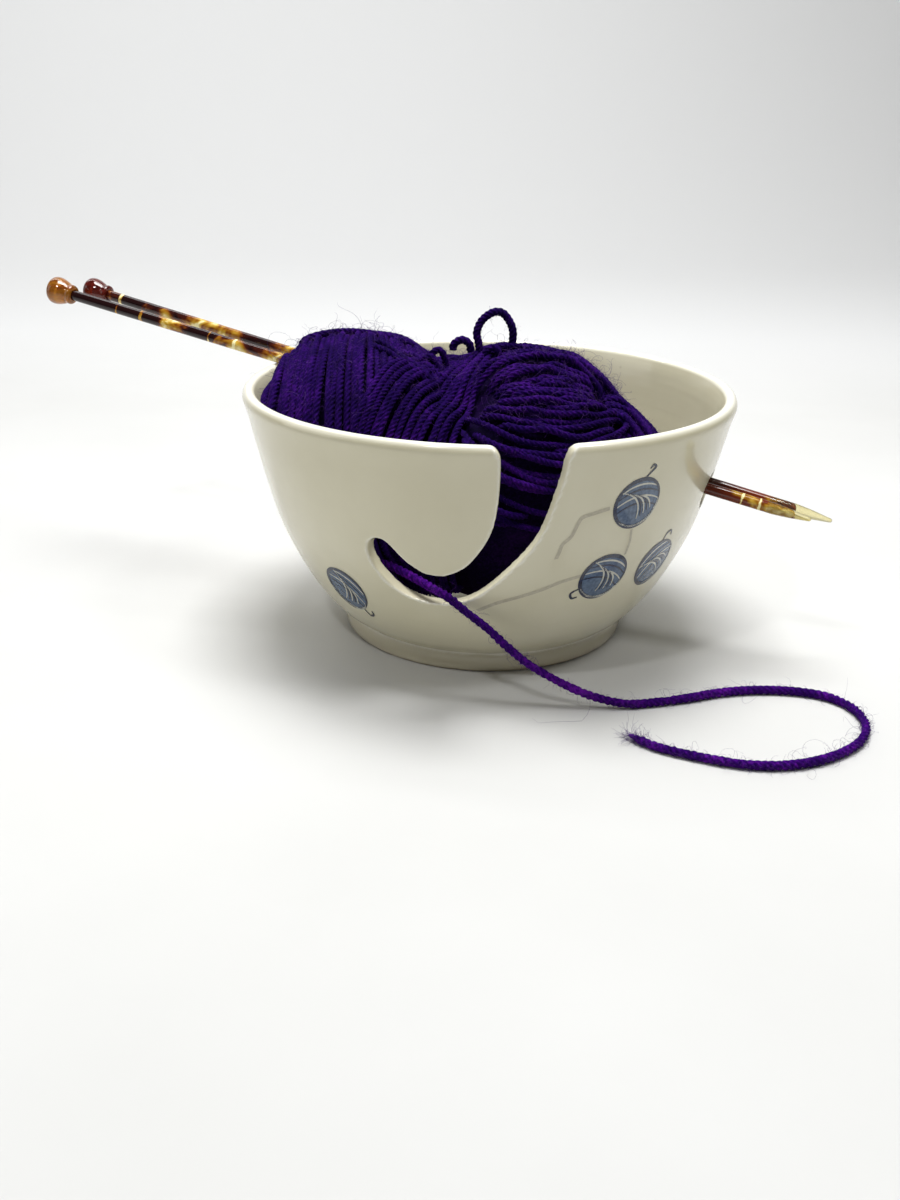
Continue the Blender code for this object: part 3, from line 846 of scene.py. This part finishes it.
def left_strands():
    """Wraps that run over the left lobe from front to back, in planes that fan a little."""
    out = []
    centre, half = LEFT_LOBE
    profile = np.linspace(-math.pi / 2, math.pi / 2, 400)
    line = np.column_stack([half[0] * np.sin(profile), half[2] * np.cos(profile)])
    places = resample(line, 1.4)[:, 0]
    theta = np.linspace(-math.pi, math.pi, 420)
    for index, x in enumerate(places[1:-1]):
        fan = math.radians(5 + 14 * (x / half[0]) + 14 * max(0, x / half[0]) ** 2 + 1.2 * RANDOM.normal())
        lean = wobble(len(theta), 0.05, 5)
        toward = np.column_stack([np.sin(fan) * np.cos(theta) + 0.16 * lean, -np.cos(fan) * np.cos(theta),
                                  np.sin(theta)])
        path = skein_hit(centre + np.array([x * 0.985, 0, 0]), toward)
        lift = 0.55 * math.sin(index * 1.9) + 0.35 * math.sin(index * 0.83 + 1) + wobble(len(theta), 0.45, 6)
        edge = WAIST_MIDDLE - 5 + 2 * RANDOM.normal() + np.clip(path[:, 1] * 0.35, 0, 9)
        keep = (along_skein(path) < edge) & (path[:, 2] > 18)
        lay_strand(path, keep, lift, out)
    return out


def crown_strands():
    """Strands along the back of the left lobe's top, and a few that cross the hollow beside the waist."""
    out = []
    centre = LEFT_LOBE[0]
    for index in range(8):
        y = 1.5 + 2.4 * index
        guide = np.array([(-70, y + 4, 92), (-62, y + 2, 99), (-52, y, 103), (-42, y - 1, 104), (-32, y, 103),
                          (-25, y + 1, 100), (-18, y + 3, 97)], float)
        guide[:, 1] += RANDOM.normal(size=7) * 0.7
        path = onto_skein(smooth_path(guide, 14), centre)
        keep = np.arange(len(path)) >= RANDOM.integers(0, 9)
        lay_strand(path, keep, 0.9 + 0.4 * math.sin(index * 2.2) + wobble(len(path), 0.4, 3), out)
    for index in range(5):
        guide = np.array([(-41, -16, 101), (-36, -19, 99.5), (-31, -22, 97.5), (-26, -25, 95.5), (-22, -28, 93)])
        guide += np.array([2.0 * index, 1.5 * index, 0])
        guide += RANDOM.normal(size=guide.shape) * 0.6
        path = onto_skein(smooth_path(guide, 12), centre)
        lift = 1.5 + 0.8 * math.sin(index * 1.7) + wobble(len(path), 0.5, 3)
        lay_strand(path, np.full(len(path), True), lift, out)
    return out


def waist_strands():
    """Wraps round the narrow middle, square to the skein: one even band over a few crossed ones, and three
    short loops that stand up beside them."""
    out = []
    centre = WAIST[0]
    middle = along_skein(centre[None])[0]
    across = np.array([-SKEIN_LINE[1], SKEIN_LINE[0], 0])
    theta = np.linspace(-math.pi, math.pi, 400)
    toward = -across * np.cos(theta)[:, None] + np.array([0, 0, 1]) * np.sin(theta)[:, None]
    for lean, base, spacing, low, high in ((0.25, -0.6, 3.0, -17, 6), (0.06, 1.4, 1.9, -17, 5.6)):
        for index, place in enumerate(np.arange(low, high, spacing)):
            shift = place - middle + 22 * lean * np.cos(theta) + wobble(len(theta), 0.3, 4)
            path = skein_hit(centre + shift[:, None] * SKEIN_LINE, toward)
            lift = base + 0.45 * math.sin(index * 2.1) + wobble(len(theta), 0.4, 5)
            lay_strand(path, path[:, 2] > 20, lift, out)
    for guide in (((-21, -12, 94), (-20, -12, 98.5), (-17.5, -11.5, 100.8), (-15.5, -11, 99),
                   (-14.5, -10.5, 95)),
                  ((-24, -15, 94), (-22.5, -14.5, 97.6), (-19.6, -14, 98.8), (-17, -14, 95)),
                  ((-2.5, -9, 95), (-1.5, -9, 99.4), (1, -9, 101.6), (3.2, -8.6, 99.2), (4, -8, 95))):
        path = resample(smooth_path(guide, 14), 0.5)
        out.append(spun_yarn(path, (0, 1, 0.1), 1.3, 6.0, 0.0))
    return out


def right_strands():
    """Strands wound round the right lobe, from the notch at the waist to the pole under the far ridge. Each
    lies nearly in a plane through those two points. Strands drop out where they crowd together."""
    out = []
    hub = (NOTCH + RIGHT_POLE) / 2
    axis = unit(RIGHT_POLE - NOTCH)
    side = unit(np.cross(axis, [0, 0, 1]))
    over = np.cross(side, axis)
    strands = 136
    tau = np.linspace(0, math.pi, 460)
    for index in range(strands):
        alpha = (index + 0.4 * RANDOM.normal()) * 2 * math.pi / strands + wobble(len(tau), 0.02, 4)
        spoke = side * np.cos(alpha)[:, None] + over * np.sin(alpha)[:, None]
        toward = -np.cos(tau)[:, None] * axis + np.sin(tau)[:, None] * spoke
        path = skein_hit(hub, toward)
        rel = path - NOTCH
        apart = np.linalg.norm(rel - (rel @ axis)[:, None] * axis, axis=1)
        keep = apart > RANK_STOPS[RANK_ORDER[index % 8]] + 3.0 * RANDOM.random()
        in_slot = (path[:, 1] < -28) & (np.abs(path[:, 0]) < 42)
        keep &= path[:, 2] > np.where(in_slot, 53 + 3 * RANDOM.normal(), 20)
        keep &= along_skein(path) > 2.0 + RANDOM.normal()
        group = 0.7 * math.sin(index * 0.55) + 0.6 * math.sin(index * 1.7 + 2)
        lift = group + wobble(len(tau), 0.6, 6) - 3.5 * np.exp(-(apart / 7.0) ** 2)
        lay_strand(path, keep, lift, out, fade=26.0)
    return out


def ridge_strands():
    """A bundle that lies over the right lobe's far side and hangs down its end, spreading as it goes."""
    out = []
    guide = np.array([(14, 0, 101), (22, -2, 100), (31, -4, 98), (39, -6, 94.5), (46, -8, 90), (53, -9, 84),
                      (59, -10, 76), (63, -11, 67), (65, -12, 56), (65, -12, 42)], float)
    widening = np.linspace(0.45, 1.1, len(guide))
    centre = RIGHT_LOBE[0]
    for index in range(23):
        off = -25 + 2.15 * index
        strand = guide + np.outer(widening, (min(off, 0) * 0.10, off, 0))
        strand += RANDOM.normal(size=strand.shape) * 0.5
        path = onto_skein(smooth_path(strand, 12), centre)
        lift = 1.2 + 0.5 * math.sin(index * 2.0) + wobble(len(path), 0.5, 3)
        start = 40 + max(0, -off) * 0.12 if off < -5 else 20 + RANDOM.random() * 6
        lay_strand(path, path[:, 0] >= start, lift, out)
    return out


def lobe_core(lobe, low, high):
    """The inside of one lobe, between two places along the skein: a rounded form under the strands."""
    rows, columns = 48, 72
    latitude = np.linspace(-math.pi / 2 + 0.02, math.pi / 2 - 0.02, rows)
    longitude = np.arange(columns) * 2 * math.pi / columns
    centre, half = lobe
    level = np.cos(latitude)[:, None]
    grid = np.stack([level * np.cos(longitude), level * np.sin(longitude),
                     np.repeat(np.sin(latitude)[:, None], columns, axis=1)], axis=-1).reshape(-1, 3)
    points = shaped(centre + grid * half) - grid * CORE_DEPTH
    along = along_skein(points)
    points += (np.clip(along, low, high) - along)[:, None] * SKEIN_LINE
    return keep_in_bowl(clear_of_needles(points, NEEDLE_RADIUS + 1.0), 1.4), tube_quads(rows, columns)


def make_skein(wool, shade):
    """The skein's three parts, and one dark core under them. Returns the three."""
    parts = (
        ("left_lobe_yarn", left_strands() + crown_strands(), "skein_left_lobe"),
        ("waist_yarn", waist_strands(), "skein_waist"),
        ("right_lobe_yarn", right_strands() + ridge_strands(), "skein_right_lobe"),
    )
    made = []
    for name, pieces, node in parts:
        made.append(ride(array_object(name, *join(pieces), wool), "bowl", [node]))
    cores = [lobe_core(LEFT_LOBE, -90, WAIST_MIDDLE), lobe_core(WAIST, *WAIST_SPAN),
             lobe_core(RIGHT_LOBE, WAIST_MIDDLE, 90)]
    ride(array_object("skein_core", *join(cores), shade), "bowl")
    return made


def make_loops(wool):
    for name, route, node in (("tall_loop_yarn", TALL_LOOP, "pull_loop_tall"),
                              ("small_loop_yarn", SMALL_LOOP, "pull_loop_small")):
        path = resample(smooth_path(route, 16), 0.5)
        loop = array_object(name, *spun_yarn(path, (0, 1, 0), LOOP_RADIUS, 6.0, 0.4, 20), wool)
        ride(loop, "bowl", [node])


def hairs(roots, headings, lengths, curl, radius, points=9):
    """Fine loose fibres: a list of (points, quads). Each starts at a root, sets off along its heading, curls
    as it goes and stays above the table."""
    made = []
    for root, heading, length in zip(roots, headings, lengths):
        turn = unit(RANDOM.normal(size=3))
        bend = curl * (0.5 + abs(RANDOM.normal()))
        path = [np.array(root, float)]
        direction = unit(np.array(heading, float))
        for _ in range(points - 1):
            turn = unit(turn + 0.35 * RANDOM.normal(size=3))
            direction = unit(direction + np.cross(turn, direction) * bend + 0.10 * RANDOM.normal(size=3))
            path.append(path[-1] + direction * length / (points - 1))
        path = np.array(path)
        path[:, 2] = np.maximum(path[:, 2], FIBRE_FLOOR)
        slope = np.gradient(path, axis=0)
        side = unit(np.cross(slope, turn))
        thin = radius * np.linspace(1, 0.35, points)
        other = np.cross(unit(slope), side)
        corners = [side, -0.5 * side + 0.866 * other, -0.5 * side - 0.866 * other]
        rings = np.stack([path + c * thin[:, None] for c in corners], axis=1).reshape(-1, 3)
        made.append((rings, tube_quads(points, 3)))
    return made


def make_tail(wool, fibre):
    """The loose end: a yarn that thins at its end, frayed there and fuzzy all along."""
    path = resample(smooth_path(TAIL_ROUTE, 16), 0.7)
    back = np.linalg.norm(path - path[-1], axis=1)
    size = YARN_RADIUS * (1.02 + wobble(len(path), 0.10, 40)) * np.clip(0.35 + back / 7.0, 0, 1)
    size = np.minimum(size * (1 + 0.05 * RANDOM.normal(size=len(path))), YARN_RADIUS * 1.06)
    tail = array_object("tail_yarn", *spun_yarn(path, (0.05, 0.1, 1), size, 8.2, 0.0, 20), wool)
    ride(tail, "bowl", ["yarn_tail"])

    at_end = path[-14:][RANDOM.integers(0, 14, 90)] + RANDOM.normal(size=(90, 3)) * 0.45
    heading = unit(path[-1] - path[-12])
    ahead = heading + RANDOM.normal(size=(90, 3)) * np.array([0.35, 0.35, 0.10])
    made = hairs(at_end, ahead, RANDOM.uniform(3, 8.5, 90), 0.16, 0.06)
    for count, low, shape, curl, thick in ((1700, 0.8, 0.5, 0.3, 0.05), (240, 1.2, 2.4, 0.5, 0.045)):
        spots = path[RANDOM.integers(40, len(path), count)]
        outward = RANDOM.normal(size=(count, 3)) * np.array([1, 1, 0.6])
        lengths = RANDOM.gamma(2.0, shape, count) + low
        made += hairs(spots + unit(outward) * 1.2, outward, lengths, curl, thick, 12)
    fuzz = array_object("tail_fuzz", *join(made), fibre)
    ride(fuzz, "bowl")


def make_skein_fuzz(skein, fibre):
    """Loose fibres that stand off the skein and its loops: a short nap, and long curled ones on its top."""
    made = []
    for obj, count in zip(skein, (4600, 1800, 4200)):
        places = np.empty(len(obj.data.vertices) * 3, dtype=np.float32)
        obj.data.vertices.foreach_get("co", places)
        places = places.reshape(-1, 3).astype(float) / MM
        roots = places[places[:, 2] > 60]
        roots = roots[RANDOM.integers(0, len(roots), count)]
        outward = skein_normal(roots) + 0.6 * RANDOM.normal(size=(count, 3))
        made += hairs(roots, outward, RANDOM.uniform(0.9, 2.8, count), 0.3, 0.04, 7)
        crest = places[(places[:, 2] > 84) & (skein_normal(places)[:, 2] > 0.35)]
        some = count // 4
        crest = crest[RANDOM.integers(0, len(crest), some)]
        outward = skein_normal(crest) + 0.6 * RANDOM.normal(size=(some, 3))
        made += hairs(crest, outward, RANDOM.gamma(2.2, 1.9, some) + 1.0, 0.36, 0.06, 14)
    loop = smooth_path(TALL_LOOP, 12)
    roots = loop[RANDOM.integers(0, len(loop), 110)] + RANDOM.normal(size=(110, 3)) * 0.6
    made += hairs(roots, RANDOM.normal(size=(110, 3)), RANDOM.uniform(1.2, 4.2, 110), 0.5, 0.04, 9)
    ride(array_object("skein_fuzz", *join(made), fibre), "bowl")


# ---------------------------------------------------------------- blue prints on the bowl

OUTSIDE = smooth_path(SECTION_OUTSIDE, 6)[::-1]


def wall_radius(height):
    return np.interp(height, OUTSIDE[:, 1], OUTSIDE[:, 0])


def on_wall(around, height, lift):
    """Points on the bowl's outside, at an angle round it and a height, raised by lift. Millimetres."""
    slope = wall_radius(height + 0.5) - wall_radius(height - 0.5)
    out = unit(np.column_stack([np.ones_like(height), -slope]))
    radius = wall_radius(height) + out[:, 0] * lift
    return np.column_stack([radius * np.cos(around), radius * np.sin(around), height + out[:, 1] * lift])


def ribbon(flat, half_width):
    """A flat stroke along a line: a pair of points for each of the line's, and the quads between them."""
    tangent = unit(np.gradient(flat, axis=0))
    side = np.column_stack([-tangent[:, 1], tangent[:, 0]]) * half_width
    pairs = np.stack([flat + side, flat - side], axis=1).reshape(-1, 2)
    i = np.arange(len(flat) - 1) * 2
    return pairs, np.column_stack([i, i + 1, i + 3, i + 2])


class Print:
    """A flat drawing, in millimetres, that is laid on the wall about one place and turned by a tilt."""

    def __init__(self, around, height, size, tilt):
        self.around, self.height, self.size, self.tilt = math.radians(around), height, size, math.radians(tilt)
        self.radius = float(wall_radius(height))
        self.parts = {"print_blue": [], "print_navy": [], "print_gap": []}

    def place(self, flat, lift):
        flat = np.asarray(flat) * self.size
        x = flat[:, 0] * math.cos(self.tilt) - flat[:, 1] * math.sin(self.tilt)
        y = flat[:, 0] * math.sin(self.tilt) + flat[:, 1] * math.cos(self.tilt)
        return on_wall(self.around + x / self.radius, self.height + y * 0.96, lift)

    def disc(self, ink, lift=0.06):
        rings, sides = np.linspace(0.02, 1, 9), 48
        angle = np.arange(sides) * 2 * math.pi / sides
        flat = np.vstack([np.column_stack([r * np.cos(angle), r * np.sin(angle)]) for r in rings])
        self.parts[ink].append((self.place(flat, lift), tube_quads(len(rings), sides)))

    def line(self, flat, width, ink, lift):
        """A stroke that swells in the middle and thins to its ends."""
        swell = width * (0.45 + 0.55 * np.sin(np.linspace(0.15, math.pi - 0.15, len(flat))))[:, None] / 2
        pairs, quads = ribbon(flat, swell)
        self.parts[ink].append((self.place(pairs, lift), quads))


def on_disc(degrees, reach):
    """The place at an angle and a distance from the middle of the unit disc."""
    return reach * math.cos(math.radians(degrees)), reach * math.sin(math.radians(degrees))


def arc(start, end, bow):
    """A curved stroke from start to end on the unit disc, bowed to one side."""
    start, end = np.array(start), np.array(end)
    t = np.linspace(0, 1, 22)[:, None]
    side = np.array([-(end - start)[1], (end - start)[0]])
    return start + (end - start) * t + side * bow * 4 * t * (1 - t)


def yarn_ball_print(around, height, size, tilt, tail):
    """A ball of yarn: a round blue ground with a rim, three sets of wound strands (their width, their lift and
    the strokes) whose ink alternates, and a loose end."""
    ball = Print(around, height, size, tilt)
    ball.disc("print_blue")
    circle = np.linspace(0, 2 * math.pi, 60)
    rim = np.column_stack([np.cos(circle), np.sin(circle)]) * 0.975
    ball.line(rim, 0.15, "print_navy", 0.12)
    windings = (
        (0.075, 0.10, [arc(on_disc(118 + 15 * k, 0.97), on_disc(62 - 17 * k, 0.97), 0.16) for k in range(6)]),
        (0.075, 0.14, [arc(on_disc(205 + 15 * k, 0.96), on_disc(min(13 * k - 58, -5), 0.96), -0.2)
                       for k in range(6)]),
        (0.07, 0.17, [arc((0.15 * k - 0.72, 0.62 - 0.08 * k), (0.15 * k, 0.07 * k - 0.66), 0.22)
                      for k in range(5)]),
    )
    for number, (width, lift, strokes) in enumerate(windings):
        for k, stroke in enumerate(strokes):
            ball.line(stroke, width, "print_navy" if (number + k) % 2 else "print_gap", lift)
    ball.line(smooth_path(tail, 8), 0.10, "print_navy", 0.12)
    return ball.parts


def faint_line_on_wall(points, width):
    """A faint darker line on the wall through (degrees round, height) points."""
    path = smooth_path(points, 8)
    radius = wall_radius(path[:, 1])
    pairs, quads = ribbon(np.column_stack([np.radians(path[:, 0]) * radius, path[:, 1]]), width / 2)
    return on_wall(pairs[:, 0] / np.repeat(radius, 2), pairs[:, 1], 0.05), quads


def make_prints():
    inks = {
        "print_blue": ink_material("print_blue", (0.040, 0.075, 0.145), (0.095, 0.155, 0.25)),
        "print_navy": ink_material("print_navy", (0.006, 0.012, 0.036), (0.018, 0.03, 0.07)),
        "print_gap": ink_material("print_gap", (0.50, 0.50, 0.44), (0.62, 0.61, 0.53)),
        "faint_wall_marks": ink_material("faint_wall_marks", (0.46, 0.425, 0.32), (0.56, 0.52, 0.40)),
    }
    balls = [
        yarn_ball_print(-55.1, 66.0, 8.7, 8,
                        ((0.2, 0.98), (0.45, 1.16), (0.62, 1.30), (0.52, 1.42), (0.38, 1.30))),
        yarn_ball_print(-59.2, 40.4, 8.6, -14, ((-0.8, -0.6), (-1.05, -0.85), (-0.9, -1.08), (-0.68, -1.0))),
        yarn_ball_print(-41.0, 40.2, 8.6, 40, ((0.6, 0.8), (0.9, 0.95), (1.12, 0.82), (1.05, 0.62))),
        yarn_ball_print(-131.4, 29.2, 8.4, -32, ((0.9, -0.45), (1.2, -0.62), (1.35, -0.42), (1.25, -0.22))),
    ]
    faint_marks = [
        faint_line_on_wall(((-62.5, 65.8), (-66, 64.8), (-68.7, 63.8), (-69.6, 61.9), (-70.7, 57.6), (-72.5, 54.9),
                      (-73, 52.2), (-73.5, 49.8)), 1.3),
        faint_line_on_wall(((-54.9, 56.8), (-54.3, 52.4), (-54.6, 47.7)), 0.9),
        faint_line_on_wall(((-66.0, 42.4), (-70.9, 41), (-75.7, 38.4), (-81.0, 36.0), (-86.5, 33.6),
                      (-91.5, 30.2)), 1.3),
    ]
    for ink, material in inks.items():
        parts = faint_marks if ink == "faint_wall_marks" else [p for ball in balls for p in ball[ink]]
        ride(array_object(ink, *join(parts), material), "bowl")


# ---------------------------------------------------------------- whole scene

make_camera()
make_light()
make_stage()
WOOL = yarn_material("purple_wool", 1.0)
# A painted-shade copy of the wool, a quarter as light, for the skein's core.
SHADE = yarn_material("purple_wool_shade", 0.25)
FIBRE = fibre_material()
# The tail's wool is a painted-lit copy, twice as light and redder, for the bright open light it lies in.
make_tail(yarn_material("purple_wool_painted_lit", 2.0, 1.5), FIBRE)
make_bowl()
make_prints()
front_dark = ((8, 44, 0.05), (250, 300, 0.2), (219, 236, 0.15), (200, 250, -0.035))
front_bands = ((17, 0.6), (23, 0.6), (217, 0.9), (228, 0.7), (258, 1.6), (269, 0.8))
make_needle("front_needle", 5.4, tortoiseshell_material("front_tortoiseshell", 0.0, front_dark, front_bands),
            clear_material("amber_knob", (0.34, 0.085, 0.004), 0.06, 0.55, (0.80, 0.36, 0.03)), 1.0)
back_dark = ((30, 60, 0.15), (290, 300, 0.2), (264, 281, 0.18), (205, 262, -0.04))
make_needle("back_needle", 12.0, tortoiseshell_material("back_tortoiseshell", 3.7, back_dark, ((283, 1.5),)),
            clear_material("burgundy_knob", (0.10, 0.006, 0.004), 0.06, 0.5, (0.32, 0.03, 0.012)), 0.93)
make_skein_fuzz(make_skein(WOOL, SHADE), FIBRE)
make_loops(WOOL)
